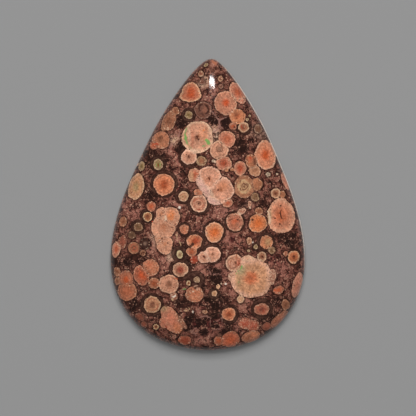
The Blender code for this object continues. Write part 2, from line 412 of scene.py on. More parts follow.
# Soft blooms of another tone within the orbs: across, along, half width, half length, lean to
# the right in degrees, tone and strength.
BLOOMS = (
    (3.85, 13.8, 0.5, 0.5, 0, "earth", 0.55),
    (-7.6, 9.9, 0.4, 0.4, 0, "earth", 0.6),
    (-2.75, 4.25, 0.35, 0.75, 0, "straw", 0.55),
    (-11.25, 2.45, 0.4, 0.65, 0, "sage", 0.5),
    (-2.8, 9.95, 0.45, 1.15, 0, "rust", 0.5),
    (-3.2, 10.5, 0.25, 1.2, -6, "pale", 0.5),
    (-2.25, 8.15, 1.05, 0.25, 0, "pale", 0.6),
    (-0.1, 10.85, 0.3, 1.2, 0, "pale", 0.5),
    (-1.95, 10.1, 0.4, 0.5, 0, "earth", 0.5),
    (-0.85, 10.7, 0.75, 1.0, 0, "orange", 0.25),
    (-3.2, 7.15, 0.45, 0.5, 0, "earth", 0.45),
    (-1.2, 6.55, 0.35, 0.35, 0, "clay", 0.6),
    (-6.75, -3.55, 0.5, 0.55, 0, "clay", 0.5),
    (2.55, 10.0, 0.55, 0.65, 0, "clay", 0.4),
    (1.5, 8.45, 0.45, 0.45, 0, "grey", 0.55),
    (2.1, 6.35, 0.5, 0.45, 0, "red", 0.35),
    (4.65, 5.55, 0.35, 0.6, 0, "red", 0.55),
    (6.2, 7.1, 0.5, 0.55, 0, "red", 0.35),
    (6.85, 6.65, 0.35, 0.65, 0, "earth", 0.5),
    (5.3, 2.85, 0.45, 0.5, 0, "earth", 0.45),
    (2.05, 2.75, 0.75, 0.65, 0, "orange", 0.4),
    (-0.65, 3.45, 0.3, 0.7, -20, "clay", 0.4),
    (0.7, 1.8, 0.3, 0.7, -25, "clay", 0.4),
    (-4.25, -7.7, 0.25, 0.3, 0, "earth", 0.8),
    (4.75, -11.65, 0.4, 0.9, 0, "sage", 0.3),
    (3.7, -9.3, 0.45, 0.4, 0, "rosy", 0.45),
    (-0.85, 14.3, 0.45, 0.6, 0, "clay", 0.25),
    (-0.05, 3.85, 0.45, 0.45, 0, "clay", 0.5),
    (0.4, 1.65, 0.25, 1.05, -34, "pale", 0.55),
    (1.4, 2.2, 0.5, 0.5, 0, "clay", 0.5),
    (-5.7, -1.75, 0.5, 0.7, 0, "orange", 0.85),
    (-1.65, -5.45, 0.5, 0.55, 0, "red", 0.55),
    (-9.7, -11.0, 0.35, 0.75, -30, "scarlet", 0.6),
    (-8.9, -9.15, 0.45, 0.45, 0, "red", 0.25),
    (-5.95, -12.1, 0.5, 0.5, 0, "earth", 0.5),
    (-4.15, -10.0, 0.5, 0.5, 0, "blood", 0.7),
    (-12.45, -11.75, 0.35, 0.5, -10, "scarlet", 0.5),
    (0.9, -4.25, 0.55, 0.65, 0, "orange", 0.4),
    (4.35, -2.95, 0.3, 0.3, 0, "grey", 0.6),
    (3.95, -3.15, 0.55, 0.45, 0, "clay", 0.6),
    (8.3, -5.5, 0.5, 0.6, 0, "clay", 0.4),
    (9.05, -5.55, 0.45, 0.55, 0, "sage", 0.5),
    (7.65, -2.65, 0.6, 0.65, 0, "orange", 0.2),
    (11.55, -1.65, 0.55, 1.05, 0, "clay", 0.4),
    (10.9, -0.95, 0.6, 0.9, 0, "clay", 0.35),
    (9.25, -1.65, 0.35, 1.05, 5, "sage", 0.5),
    (4.6, -8.8, 0.35, 0.6, 20, "red", 0.45),
    (5.3, -8.55, 0.35, 0.6, 0, "rosy", 0.5),
    (5.15, -9.95, 0.55, 0.75, 30, "sage", 0.7),
    (6.55, -11.1, 0.8, 0.8, 0, "clay", 0.55),
    (-0.1, -7.8, 0.4, 0.4, 0, "earth", 0.3),
    (-0.5, -8.05, 0.35, 0.35, 0, "earth", 0.4),
    (-4.4, -19.05, 0.55, 0.85, -30, "orange", 0.35),
    (-6.6, -16.0, 0.65, 0.5, 0, "sage", 0.45),
    (6.5, -20.3, 0.55, 0.4, 0, "earth", 0.4),
    (3.3, -16.85, 0.3, 0.3, 0, "earth", 0.45),
)

# Small strokes and dots: from and to (across, along), half width, and tone.
HOOPS = (
    (-1.0, 14.55, 0.7, 0.75, 0.11, "pit"),
    (-7.6, 9.9, 0.35, 0.35, 0.08, "earth"),
    (-6.9, 2.9, 1.3, 1.3, 0.05, "clay"),
    (-11.3, -6.9, 0.5, 0.5, 0.08, "rust"),
    (-1.55, 0.1, 0.75, 0.8, 0.06, "rust"),
    (-1.55, 0.15, 0.35, 0.35, 0.06, "earth"),
    (-3.9, 1.15, 0.4, 0.45, 0.06, "clay"),
    (5.3, 2.8, 0.8, 0.85, 0.08, "straw"),
    (5.3, 2.8, 0.4, 0.45, 0.08, "earth"),
    (7.35, 11.75, 0.35, 0.45, 0.06, "earth"),
    (5.1, 11.9, 0.45, 0.45, 0.06, "clay"),
    (7.0, 1.25, 0.35, 0.35, 0.06, "earth"),
    (1.5, 8.45, 0.5, 0.5, 0.06, "earth"),
    (2.1, 6.35, 0.45, 0.4, 0.05, "earth"),
    (4.65, 5.55, 0.5, 0.65, 0.06, "clay"),
    (-1.2, 6.55, 0.45, 0.45, 0.06, "earth"),
    (-10.7, -3.65, 0.4, 0.4, 0.06, "earth"),
    (-9.95, -7.65, 0.25, 0.25, 0.06, "pit"),
    (-5.95, -12.1, 0.9, 0.9, 0.05, "clay"),
    (-8.35, -15.45, 0.8, 0.85, 0.06, "rust"),
    (3.35, -16.75, 0.6, 0.55, 0.06, "clay"),
    (8.35, -15.8, 0.65, 0.5, 0.06, "rust"),
    (-12.4, -11.7, 0.7, 0.9, 0.06, "clay"),
    (4.15, -8.95, 0.8, 0.9, 0.05, "clay"),
    (4.0, -2.6, 0.8, 0.95, 0.05, "earth"),
    (-1.6, -11.5, 1.15, 1.1, 0.06, "pit"),
    (-1.65, -19.3, 0.35, 0.35, 0.08, "vein"),
    (-1.2, 6.55, 0.65, 0.6, 0.05, "straw"),
    (-0.75, 17.05, 0.35, 0.35, 0.07, "pit"),
)

MARKS = (
    (-2.1, 10.35, -2.0, 10.25, 0.15, "slit"),
    (-1.85, 9.95, -1.8, 9.9, 0.15, "pit"),
    (-3.55, 11.6, -3.85, 10.6, 0.11, "green"),
    (-3.85, 10.6, -3.75, 9.8, 0.18, "leaf"),
    (-3.75, 9.8, -3.25, 8.9, 0.12, "green"),
    (-3.25, 8.9, -2.75, 8.45, 0.08, "green"),
    (-3.7, 10.9, -3.65, 10.85, 0.09, "earth"),
    (-3.6, 10.15, -3.55, 10.1, 0.09, "earth"),
    (-3.45, 9.35, -3.4, 9.35, 0.08, "earth"),
    (-0.65, 9.7, -0.2, 9.3, 0.26, "leaf"),
    (-1.0, 8.7, -0.6, 8.9, 0.11, "green"),
    (-2.8, 10.8, -2.65, 10.75, 0.11, "slit"),
    (-1.25, 11.1, -1.2, 11.1, 0.09, "slit"),
    (-0.05, 3.95, 0.0, 3.8, 0.14, "slit"),
    (1.4, 2.3, 1.4, 2.15, 0.14, "slit"),
    (11.1, -0.75, 10.95, -1.3, 0.08, "slit"),
    (10.95, -1.3, 11.1, -1.9, 0.11, "pit"),
    (10.9, 0.0, 10.9, -0.05, 0.14, "pit"),
    (10.9, -2.8, 10.95, -2.85, 0.12, "pit"),
    (9.1, -0.9, 9.4, -2.65, 0.14, "pale"),
    (9.25, -1.3, 9.3, -1.35, 0.09, "pit"),
    (10.05, -1.85, 10.1, -1.9, 0.11, "pit"),
    (9.45, -0.6, 9.45, -0.65, 0.09, "earth"),
    (-2.35, -6.05, -2.8, -6.45, 0.23, "pit"),
    (6.75, -2.1, 6.8, -2.15, 0.17, "pit"),
    (6.25, -2.35, 6.3, -2.4, 0.09, "pit"),
    (-8.25, 9.1, -8.05, 9.0, 0.18, "red"),
    (0.15, 22.05, 0.55, 21.75, 0.23, "clay"),
    (-5.4, -14.1, -4.85, -13.9, 0.12, "white"),
    (-5.3, -14.4, -5.15, -14.55, 0.12, "straw"),
    (-2.4, -12.8, -2.35, -12.9, 0.12, "earth"),
    (-2.1, -13.15, -2.0, -13.25, 0.11, "pale"),
    (-1.7, -13.4, -1.65, -13.45, 0.09, "pit"),
    (-2.55, -13.3, -2.5, -13.35, 0.09, "pale"),
    (-6.15, -18.7, -6.05, -18.8, 0.14, "blood"),
    (1.25, -14.6, 1.35, -14.65, 0.08, "green"),
    (-4.4, -0.5, -4.4, -0.5, 0.21, "white"),
    # The white dot beside the small tan orb is a painted glint.
    (6.7, -5.6, 6.7, -5.6, 0.15, "white"),
    (-2.15, -16.35, -2.15, -16.55, 0.09, "white"),
    (-3.4, -16.05, -3.1, -16.2, 0.12, "straw"),
    (-2.75, -15.7, -2.65, -15.9, 0.09, "straw"),
    (-4.75, -4.2, -4.65, -5.25, 0.08, "straw"),
    (-4.4, -5.55, -4.2, -6.45, 0.09, "straw"),
    (-4.1, -3.65, -3.85, -4.05, 0.06, "pit"),
    (0.8, 6.45, 0.85, 6.4, 0.18, "pale"),
    (10.35, 4.9, 10.4, 4.85, 0.15, "pale"),
    (-7.05, -5.3, -7.0, -5.35, 0.15, "earth"),
    (-6.2, -5.9, -6.15, -5.95, 0.12, "pit"),
    (-5.6, -3.6, -5.55, -3.6, 0.11, "pit"),
    (-4.95, -3.05, -4.9, -3.1, 0.11, "earth"),
    (-8.45, -2.85, -8.4, -2.9, 0.11, "red"),
    (-7.4, -1.8, -7.2, -1.9, 0.08, "earth"),
    (-6.6, -1.95, -6.45, -2.4, 0.18, "pale"),
    (-0.3, -3.75, -0.25, -3.85, 0.11, "blood"),
    (0.35, -4.85, 0.4, -4.85, 0.11, "blood"),
    (0.25, -3.05, 0.35, -3.1, 0.08, "earth"),
    (3.15, -1.75, 3.2, -1.8, 0.09, "pit"),
    (4.45, -2.15, 4.5, -2.2, 0.11, "pit"),
    (8.2, -7.75, 8.3, -7.8, 0.12, "pit"),
    (13.2, -7.65, 13.25, -7.75, 0.12, "slit"),
    (4.3, -7.65, 4.5, -8.4, 0.12, "clay"),
    (4.15, -8.65, 4.25, -8.9, 0.12, "earth"),
    (4.8, -8.55, 4.6, -9.3, 0.09, "blood"),
    (5.15, -9.15, 5.0, -9.6, 0.11, "leaf"),
    (4.95, -9.75, 4.65, -10.1, 0.08, "green"),
    (4.45, -10.35, 4.45, -10.45, 0.08, "leaf"),
    (4.75, -11.5, 4.75, -11.65, 0.08, "green"),
    (3.25, -10.8, 3.35, -10.85, 0.12, "pale"),
    (2.25, -11.95, 2.25, -11.95, 0.14, "pale"),
    (2.85, -11.95, 2.9, -11.95, 0.14, "white"),
    (-5.05, -11.5, -4.55, -11.05, 0.06, "earth"),
    (-3.65, -13.05, -3.2, -12.95, 0.08, "green"),
    (10.3, -12.9, 10.5, -13.0, 0.12, "scarlet"),
    (3.7, 11.9, 3.75, 11.8, 0.12, "slit"),
    (3.1, 11.65, 3.15, 11.6, 0.09, "slit"),
    (4.85, 12.1, 4.9, 11.7, 0.11, "blood"),
    (5.25, 12.0, 5.3, 11.95, 0.08, "pale"),
    (7.3, 11.8, 7.35, 11.65, 0.12, "earth"),
    (0.8, 10.8, 0.85, 10.55, 0.14, "pit"),
    (0.7, 10.1, 0.8, 9.9, 0.12, "pit"),
    (1.2, 11.05, 1.25, 10.95, 0.11, "pit"),
    (1.1, 10.35, 1.15, 10.25, 0.09, "pale"),
    (-4.2, 16.8, -3.7, 16.4, 0.08, "blood"),
    (-3.7, 16.4, -2.65, 16.3, 0.08, "blood"),
    (-2.65, 16.3, -1.9, 16.75, 0.08, "blood"),
    (-3.95, 11.5, -3.8, 11.85, 0.08, "earth"),
    (-3.45, 12.2, -3.15, 12.4, 0.08, "earth"),
    (-1.05, 11.3, -1.0, 11.2, 0.14, "orange"),
    (-3.15, 7.4, -3.1, 6.95, 0.08, "slit"),
    (-1.25, 6.55, -1.2, 6.55, 0.11, "blood"),
    (-7.8, 5.95, -7.8, 5.85, 0.11, "blood"),
    (-8.1, 6.1, -8.05, 5.65, 0.06, "leaf"),
    (-7.55, 6.15, -7.5, 5.9, 0.06, "leaf"),
    (-3.9, 1.15, -3.85, 1.1, 0.09, "pit"),
    (-1.55, 0.15, -1.55, 0.15, 0.11, "pit"),
    (-1.4, -0.8, -1.35, -0.8, 0.12, "blood"),
    (-2.55, 0.7, -2.55, 0.65, 0.09, "pit"),
    (-7.65, 10.0, -7.6, 9.9, 0.09, "pit"),
    (-6.3, 8.45, -5.65, 9.3, 0.08, "vein"),
    (-5.65, 9.3, -5.15, 10.15, 0.08, "straw"),
    (-5.15, 10.15, -4.4, 11.25, 0.08, "vein"),
    (-5.5, 10.4, -5.0, 11.1, 0.06, "vein"),
    (-5.15, 10.15, -4.2, 10.55, 0.08, "vein"),
    (-5.65, 9.3, -5.0, 8.7, 0.08, "vein"),
    (4.65, -1.25, 4.7, -1.35, 0.11, "pale"),
    (4.9, -0.8, 4.95, -0.85, 0.09, "earth"),
    (6.3, -0.4, 6.35, -0.5, 0.11, "pale"),
    (3.15, -2.4, 3.5, -2.2, 0.06, "earth"),
    (3.5, -2.2, 4.05, -2.15, 0.06, "earth"),
    (0.7, -6.5, 0.75, -7.45, 0.06, "slit"),
    (-0.6, -7.85, -0.5, -7.95, 0.14, "slit"),
    (-9.55, -6.1, -9.5, -6.15, 0.20, "grey"),
    (-11.3, -6.85, -11.3, -6.9, 0.14, "rust"),
    (-1.85, -12.6, -1.8, -12.75, 0.12, "pit"),
    (-1.3, -12.4, -1.25, -12.5, 0.11, "pit"),
    (-1.55, -12.95, -1.5, -13.05, 0.09, "pale"),
    (8.65, -15.9, 8.7, -16.0, 0.12, "blood"),
    (-4.95, -11.2, -4.55, -11.4, 0.09, "scarlet"),
    (0.05, 14.25, 0.6, 13.55, 0.09, "vein"),
    (0.6, 13.55, 1.35, 12.95, 0.09, "vein"),
    (1.35, 12.95, 2.25, 13.2, 0.09, "vein"),
    (1.4, 12.95, 1.45, 11.95, 0.12, "vein"),
    (1.45, 11.95, 0.65, 11.15, 0.12, "vein"),
    (1.45, 11.95, 1.9, 11.5, 0.08, "vein"),
    (-0.9, -13.9, -0.15, -13.8, 0.08, "vein"),
    (1.8, -14.5, 1.95, -15.4, 0.05, "vein"),
    (2.0, -16.35, 2.4, -17.55, 0.05, "vein"),
    (-1.45, -17.35, -0.55, -16.95, 0.08, "vein"),
    (-0.55, -16.95, 0.65, -17.35, 0.08, "vein"),
    (0.65, -17.35, 0.6, -18.55, 0.06, "vein"),
    (0.8, -19.0, 2.25, -19.05, 0.08, "vein"),
    (1.5, -17.75, 2.3, -17.3, 0.08, "vein"),
    (2.3, -17.3, 2.5, -18.5, 0.08, "vein"),
    (-2.5, -19.55, -0.95, -20.25, 0.08, "vein"),
    (0.85, -10.5, 2.05, -10.6, 0.08, "vein"),
    (0.05, -9.4, 0.45, -10.55, 0.08, "vein"),
    (6.15, 7.25, 6.2, 7.15, 0.12, "red"),
    (6.75, 7.1, 6.85, 6.35, 0.15, "earth"),
    (5.25, 2.85, 5.3, 2.8, 0.14, "earth"),
    (4.6, 3.3, 4.9, 3.6, 0.08, "earth"),
    (5.65, 3.45, 5.95, 3.15, 0.08, "earth"),
    (5.95, 2.55, 5.75, 2.25, 0.08, "earth"),
    (4.9, 2.15, 4.6, 2.45, 0.08, "earth"),
    (4.3, 3.1, 4.3, 2.65, 0.09, "straw"),
    (6.15, 3.15, 6.25, 2.7, 0.09, "straw"),
    (5.0, 1.9, 5.6, 1.9, 0.09, "straw"),
    (5.05, 3.75, 5.5, 3.75, 0.09, "straw"),
    (10.15, 1.9, 10.2, 1.85, 0.11, "slit"),
)

# Dark discs in the ground behind an orb: across, along and radius.
COLLARS = (
    (-4.25, -7.55, 1.3),
    (-1.7, -11.45, 1.4),
    (3.4, -16.7, 1.55),
    (0.85, -4.15, 1.8),
    (-1.5, 0.15, 1.85),
    (-6.85, 3.0, 2.15),
    (5.15, 11.95, 1.25),
    (8.4, -15.8, 1.7),
    (-4.15, -10.0, 1.75),
    (-7.85, 6.05, 1.3),
    (-3.95, 1.2, 1.25),
    (-8.35, -15.5, 1.85),
    (7.3, -6.3, 0.75),
    (-9.35, -1.95, 1.15),
    (-10.75, -3.65, 1.15),
    (4.0, -2.6, 1.65),
    (8.8, -5.55, 1.5),
    (-3.3, 13.6, 1.15),
    (13.2, -7.8, 1.3),
    (1.05, -13.55, 0.9),
    (-3.15, 7.15, 1.65),
    (-3.7, -3.8, 1.1),
    (0.65, -7.5, 1.65),
    (-2.0, -5.7, 1.6),
)

MARK_TONES = {
    "pit": (52, 26, 20),
    "slit": (84, 38, 28),
    "earth": (104, 62, 46),
    "blood": (146, 58, 40),
    "red": (176, 70, 46),
    "scarlet": (200, 88, 48),
    "orange": (214, 118, 62),
    "clay": (170, 104, 76),
    "rosy": (208, 152, 128),
    "pale": (216, 180, 152),
    "white": (232, 214, 196),
    "sage": (146, 140, 102),
    "green": (128, 150, 94),
    "grey": (128, 98, 82),
    "vein": (150, 106, 94),
    "rust": (172, 92, 68),
    "leaf": (112, 160, 84),
    "straw": (196, 158, 118),
}


def smooth_loop(points, steps):
    """Points on the closed cubic spline through the given ones, with even slope and bend."""
    count = len(points)
    following = np.roll(points, -1, axis=0)
    spans = np.linalg.norm(following - points, axis=1)
    before = np.roll(spans, 1)
    system = np.zeros((count, count))
    target = np.zeros((count, 2))
    for i in range(count):
        system[i, i - 1] += before[i]
        system[i, i] += 2.0 * (before[i] + spans[i])
        system[i, (i + 1) % count] += spans[i]
        rise_after = (following[i] - points[i]) / spans[i]
        rise_before = (points[i] - points[i - 1]) / before[i]
        target[i] = 6.0 * (rise_after - rise_before)
    bend = np.linalg.solve(system, target)
    next_bend = np.roll(bend, -1, axis=0)
    loop = []
    for i in range(count):
        for k in range(steps):
            along = k / steps
            left = 1.0 - along
            pull = (left ** 3 - left) * bend[i] + (along ** 3 - along) * next_bend[i]
            loop.append(left * points[i] + along * following[i] + spans[i] ** 2 / 6.0 * pull)
    return np.array(loop)


def inset(outline, width):
    along = np.roll(outline, -1, axis=0) - np.roll(outline, 1, axis=0)
    along /= np.linalg.norm(along, axis=1)[:, None]
    return outline + np.column_stack((-along[:, 1], along[:, 0])) * width


def girdle_outline():
    right = np.array(HALF_OUTLINE)
    left = right[-2:0:-1] * (-1.0, 1.0)
    return smooth_loop(np.vstack((right, left)), OUTLINE_STEPS)


def around(outline, turns):
    """Points at the given shares of the way round a closed outline."""
    closed = np.vstack((outline, outline[:1]))
    way = np.concatenate(([0.0], np.cumsum(np.linalg.norm(np.diff(closed, axis=0), axis=1))))
    way /= way[-1]
    turns = np.mod(turns, 1.0)
    return np.column_stack([np.interp(turns, way, closed[:, k]) for k in (0, 1)])


def dome_height(places, edge, foot):
    """The height of the polished face over plan positions."""
    from_summit = edge - SUMMIT
    angles = np.arctan2(from_summit[:, 1], from_summit[:, 0])
    order = np.argsort(angles)
    reach = np.linalg.norm(from_summit, axis=1)
    offsets = places - SUMMIT
    bearing = np.arctan2(offsets[:, 1], offsets[:, 0])
    limit = np.interp(bearing, angles[order], reach[order], period=2.0 * math.pi)
    share = np.clip(np.linalg.norm(offsets, axis=1) / limit, 0.0, 1.0)
    return foot + (THICKNESS - foot) * (1.0 - share ** SECTION_POWER) ** HEIGHT_POWER


def round_grid(cells):
    """A square grid drawn round: each point's share of the radius and share of a turn."""
    steps = np.linspace(-1.0, 1.0, cells + 1)
    across, along = np.meshgrid(steps, steps)
    across, along = across.ravel(), along.ravel()
    sideways = np.abs(across) > np.abs(along)
    with np.errstate(divide="ignore", invalid="ignore"):
        side_turn = 0.25 * math.pi * along / across + np.where(across < 0.0, math.pi, 0.0)
        end_turn = 0.5 * math.pi - 0.25 * math.pi * across / along
        end_turn = end_turn + np.where(along < 0.0, math.pi, 0.0)
    turn = np.nan_to_num(np.where(sideways, side_turn, end_turn))
    radius = np.maximum(np.abs(across), np.abs(along))
    return radius, np.mod(turn / (2.0 * math.pi) + 0.25, 1.0)


def grid_faces(cells, start, upward):
    corner = np.arange(cells)
    row, column = np.meshgrid(corner, corner, indexing="ij")
    first = (start + row * (cells + 1) + column).ravel()
    faces = np.column_stack((first, first + 1, first + cells + 2, first + cells + 1))
    return faces if upward else faces[:, ::-1]


def grid_border(cells, start):
    """The grid's border points, counter-clockwise from the middle of its lower side."""
    wide = cells + 1
    lower = [start + k for k in range(cells)]
    right = [start + k * wide + cells for k in range(cells)]
    upper = [start + cells * wide + cells - k for k in range(cells)]
    left = [start + (cells - k) * wide for k in range(cells)]
    loop = np.array(lower + right + upper + left)
    return np.roll(loop, -(cells // 2))


def stone_mesh():
    """The stone's points in millimetres and its faces, with the depth of each point."""
    girdle = girdle_outline()
    edge = inset(girdle, FRONT_BEVEL_WIDTH)
    back_edge = inset(girdle, BACK_BEVEL_WIDTH)
    foot = GIRDLE_TOP + FRONT_BEVEL_RISE

    radius, turn = round_grid(FACE_CELLS)
    face_plan = FACE_MIDDLE + (around(edge, turn) - FACE_MIDDLE) * radius[:, None]
    face = np.column_stack((face_plan, dome_height(face_plan, edge, foot)))
    face[radius > 0.999999, 2] = foot

    stations = 4 * FACE_CELLS
    turns = np.arange(stations) / stations
    walls = []
    for row in range(GIRDLE_ROWS + 1):
        height = GIRDLE_TOP + (BACK_BEVEL_RISE - GIRDLE_TOP) * row / GIRDLE_ROWS
        walls.append(np.column_stack((around(girdle, turns), np.full(stations, height))))

    back_radius, back_turn = round_grid(BACK_CELLS)
    back_plan = FACE_MIDDLE + (around(back_edge, back_turn) - FACE_MIDDLE) * back_radius[:, None]
    back = np.column_stack((back_plan, np.zeros(len(back_plan))))

    points = np.vstack([face] + walls + [back])
    wall_start = len(face)
    back_start = wall_start + stations * len(walls)
    quads = [grid_faces(FACE_CELLS, 0, True)]
    loops = [grid_border(FACE_CELLS, 0)]
    loops += [wall_start + k * stations + np.arange(stations) for k in range(len(walls))]
    for upper, lower in zip(loops, loops[1:]):
        quads.append(np.column_stack((upper, lower, np.roll(lower, -1), np.roll(upper, -1))))
    quads.append(grid_faces(BACK_CELLS, back_start, False))
    girdle_foot = loops[-1]
    back_border = grid_border(BACK_CELLS, back_start)
    next_back = np.roll(back_border, -1)
    even, odd = girdle_foot[0::2], girdle_foot[1::2]
    next_even = np.roll(even, -1)
    triangles = np.vstack((
        np.column_stack((even, back_border, odd)),
        np.column_stack((odd, back_border, next_back)),
        np.column_stack((odd, next_back, next_even)),
    ))
    faces = [tuple(quad) for block in quads for quad in block.tolist()]
    faces += [tuple(triangle) for triangle in triangles.tolist()]
    over = dome_height(points[:, :2], edge, foot)
    depth = np.maximum(over - points[:, 2], 0.0)
    depth[:wall_start] = 0.0
    return points, faces, depth, (wall_start, back_start, stations)


def back_orbs():
    """Orbs centred on the flat back, scattered so that they just touch or stay apart."""
    draw = random.Random(11)
    kinds = ("orange", "coral", "coral", "peach", "tan", "olive", "pink", "brown", "salmon", "cream")
    girdle = girdle_outline()
    found = []
    for attempt in range(2600):
        across, along = draw.uniform(-14.5, 14.5), draw.uniform(-22.0, 22.0)
        size = 0.35 + 1.9 * draw.random() ** 2.2
        if np.min(np.hypot(girdle[:, 0] - across, girdle[:, 1] - along)) < 0.2:
            continue
        near = any(math.hypot(across - o[0], along - o[1]) < 0.93 * (size + o[2]) for o in found)
        if near:
            continue
        slim = draw.uniform(0.86, 1.0)
        found.append((across, along, size, size * slim, draw.uniform(0.0, 180.0), draw.choice(kinds)))
    return found


# Orbs of these kinds grow into each other without a seam.
FUSED = ("hood", "sunset", "coralmix")


def orb_fields(points, depth):
    """What the material needs to know at each point about the nearest orb."""
    count = len(points)
    nearest = np.full(count, 1e3)
    second = np.full(count, 1e3)
    which = np.zeros(count, int)
    family = np.full(count, -1)
    reach = np.full(count, 9.0)
    local = np.zeros((count, 3))
    draw = random.Random(5)
    layers = [(orb, depth) for orb in ORBS] + [(orb, points[:, 2]) for orb in back_orbs()]
    for index, (orb, sunk) in enumerate(layers):
        across, along, half_width, half_length, lean, kind = orb
        turn = math.radians(lean)
        east = points[:, 0] - across
        north = points[:, 1] - along
        side = (east * math.cos(turn) - north * math.sin(turn)) / half_width
        ahead = (east * math.sin(turn) + north * math.cos(turn)) / half_length
        below = sunk / min(half_width, half_length)
        distance = np.sqrt(side ** 2 + ahead ** 2 + below ** 2)
        bearing = np.arctan2(ahead, side)
        for lobes, height in ((2, 0.02), (3, 0.025), (5, 0.018), (8, 0.012)):
            distance = distance * (1.0 + height * np.sin(lobes * bearing + draw.uniform(0.0, 6.28)))
        signed = (distance - 1.0) * math.sqrt(half_width * half_length)
        closer = signed < nearest
        own_family = -2 - FUSED.index(kind) if kind in FUSED else index
        rival = family != own_family
        second = np.where(rival, np.where(closer, nearest, np.minimum(second, signed)), second)
        family[closer] = own_family
        nearest = np.where(closer, signed, nearest)
        which[closer] = index
        reach[closer] = distance[closer]
        fineness = 0.65 + 0.25 * math.sqrt(half_width * half_length)
        spokes = (fineness * np.cos(bearing), fineness * np.sin(bearing), 0.6 * distance + index)
        spokes = np.column_stack(spokes)
        local[closer] = spokes[closer]
    seam = np.minimum(-nearest, 0.5 * (second - nearest))
    margin = np.where(nearest < 0.0, seam, -nearest)
    kinds = [KINDS[orb[5]] for orb, sunk in layers]
    table = [np.array([kind[part] for kind in kinds])[which] for part in range(8)]
    return reach, margin, local, table


def ground_tones(points, depth):
    lift = np.zeros(len(points))
    dark = np.tile(colour(*GROUNDS["plain"][0]), (len(points), 1))
    light = np.tile(colour(*GROUNDS["plain"][1]), (len(points), 1))
    for across, along, half_width, half_length, tone in PATCHES:
        spread = ((points[:, 0] - across) / half_width) ** 2 + ((points[:, 1] - along) / half_length) ** 2
        share = np.exp(-0.7 * (spread + (depth / half_width) ** 2) ** 1.4)[:, None]
        dark = dark + (colour(*GROUNDS[tone][0]) - dark) * share
        light = light + (colour(*GROUNDS[tone][1]) - light) * share
        lift = lift + (GROUNDS[tone][2] - lift) * share[:, 0]
    return dark, light, lift


def bloomed(points, depth, rows):
    """The orbs' colours with the soft blooms laid over them."""
    for across, along, half_width, half_length, lean, tone, strength in BLOOMS:
        turn = math.radians(lean)
        east = points[:, 0] - across
        north = points[:, 1] - along
        side = (east * math.cos(turn) - north * math.sin(turn)) / half_width
        ahead = (east * math.sin(turn) + north * math.cos(turn)) / half_length
        spread = side ** 2 + ahead ** 2 + (depth / half_width) ** 2
        share = strength * np.exp(-0.7 * spread ** 1.5)[:, None]
        rows = rows + (colour(*MARK_TONES[tone]) - rows) * share
    return rows


def mark_fields(points, depth):
    """How far inside the nearest mark each point is, in millimetres, and that mark's tone."""
    margin = np.full(len(points), -9.0)
    tone = np.zeros((len(points), 3))
    x, y = points[:, 0], points[:, 1]
    places = np.column_stack((
        x + 0.08 * np.sin(3.1 * y + 0.4 * x) + 0.04 * np.sin(8.3 * y + 3.1 * x),
        y + 0.08 * np.sin(2.7 * x - 0.6 * y) + 0.04 * np.sin(7.7 * x - 2.9 * y),
    ))
    for x0, y0, x1, y1, half_width, name in MARKS:
        way = np.array((x1 - x0, y1 - y0))
        offset = places - (x0, y0)
        share = np.clip(offset @ way / max(way @ way, 1e-9), 0.0, 1.0)
        gap = np.linalg.norm(offset - share[:, None] * way, axis=1)
        inside = half_width - np.hypot(gap, depth)
        closer = inside > margin
        margin = np.where(closer, inside, margin)
        tone[closer] = colour(*MARK_TONES[name])
    for across, along, half_width, half_length, line, name in HOOPS:
        offset = (places - (across, along)) / (half_width, half_length)
        gap = (np.linalg.norm(offset, axis=1) - 1.0) * math.sqrt(half_width * half_length)
        inside = line - np.hypot(gap, depth)
        closer = inside > margin
        margin = np.where(closer, inside, margin)
        tone[closer] = colour(*MARK_TONES[name])
    return margin, tone


def collar_margin(points, depth):
    margin = np.full(len(points), -9.0)
    for across, along, radius in COLLARS:
        gap = np.sqrt((points[:, 0] - across) ** 2 + (points[:, 1] - along) ** 2 + depth ** 2)
        margin = np.maximum(margin, radius - gap)
    return margin


def cell_seeds(face):
    """Spots scattered over the polished face, clear of the orbs; each is the middle of a dark cell."""
    draw = random.Random(3)
    chosen = []
    for attempt in range(9000):
        x, y, z = face[draw.randrange(len(face))]
        clear = all(math.hypot(x - o[0], y - o[1]) > 0.5 + 0.5 * (o[2] + o[3]) for o in ORBS)
        if clear and all(math.hypot(x - s[0], y - s[1]) > 1.6 for s in chosen):
            chosen.append((x, y, z))
    return chosen


def cell_gap(points, depth, face):
    """How much nearer one cell's middle, or one orb, is than the next, in millimetres."""
    first = np.full(len(points), 99.0)
    second = np.full(len(points), 99.0)
    middles = [(seed, 0.30) for seed in cell_seeds(face)]
    for across, along, half_width, half_length, lean, kind in ORBS:
        middles.append(((across, along, None), math.sqrt(half_width * half_length)))
    for (x, y, z), size in middles:
        drop = depth if z is None else points[:, 2] - z
        gap = np.sqrt((points[:, 0] - x) ** 2 + (points[:, 1] - y) ** 2 + drop ** 2) - size
        second = np.minimum(second, np.maximum(first, gap))
        first = np.minimum(first, gap)
    return second - first


def add_number(mesh, name, values):
    attribute = mesh.attributes.new(name, "FLOAT", "POINT")
    attribute.data.foreach_set("value", np.asarray(values, np.float32))


def add_vector(mesh, name, values):
    attribute = mesh.attributes.new(name, "FLOAT_VECTOR", "POINT")
    attribute.data.foreach_set("vector", np.asarray(values, np.float32).ravel())


def add_colour(mesh, name, values):
    attribute = mesh.attributes.new(name, "FLOAT_COLOR", "POINT")
    solid = np.column_stack((values, np.ones(len(values))))
    attribute.data.foreach_set("color", solid.astype(np.float32).ravel())


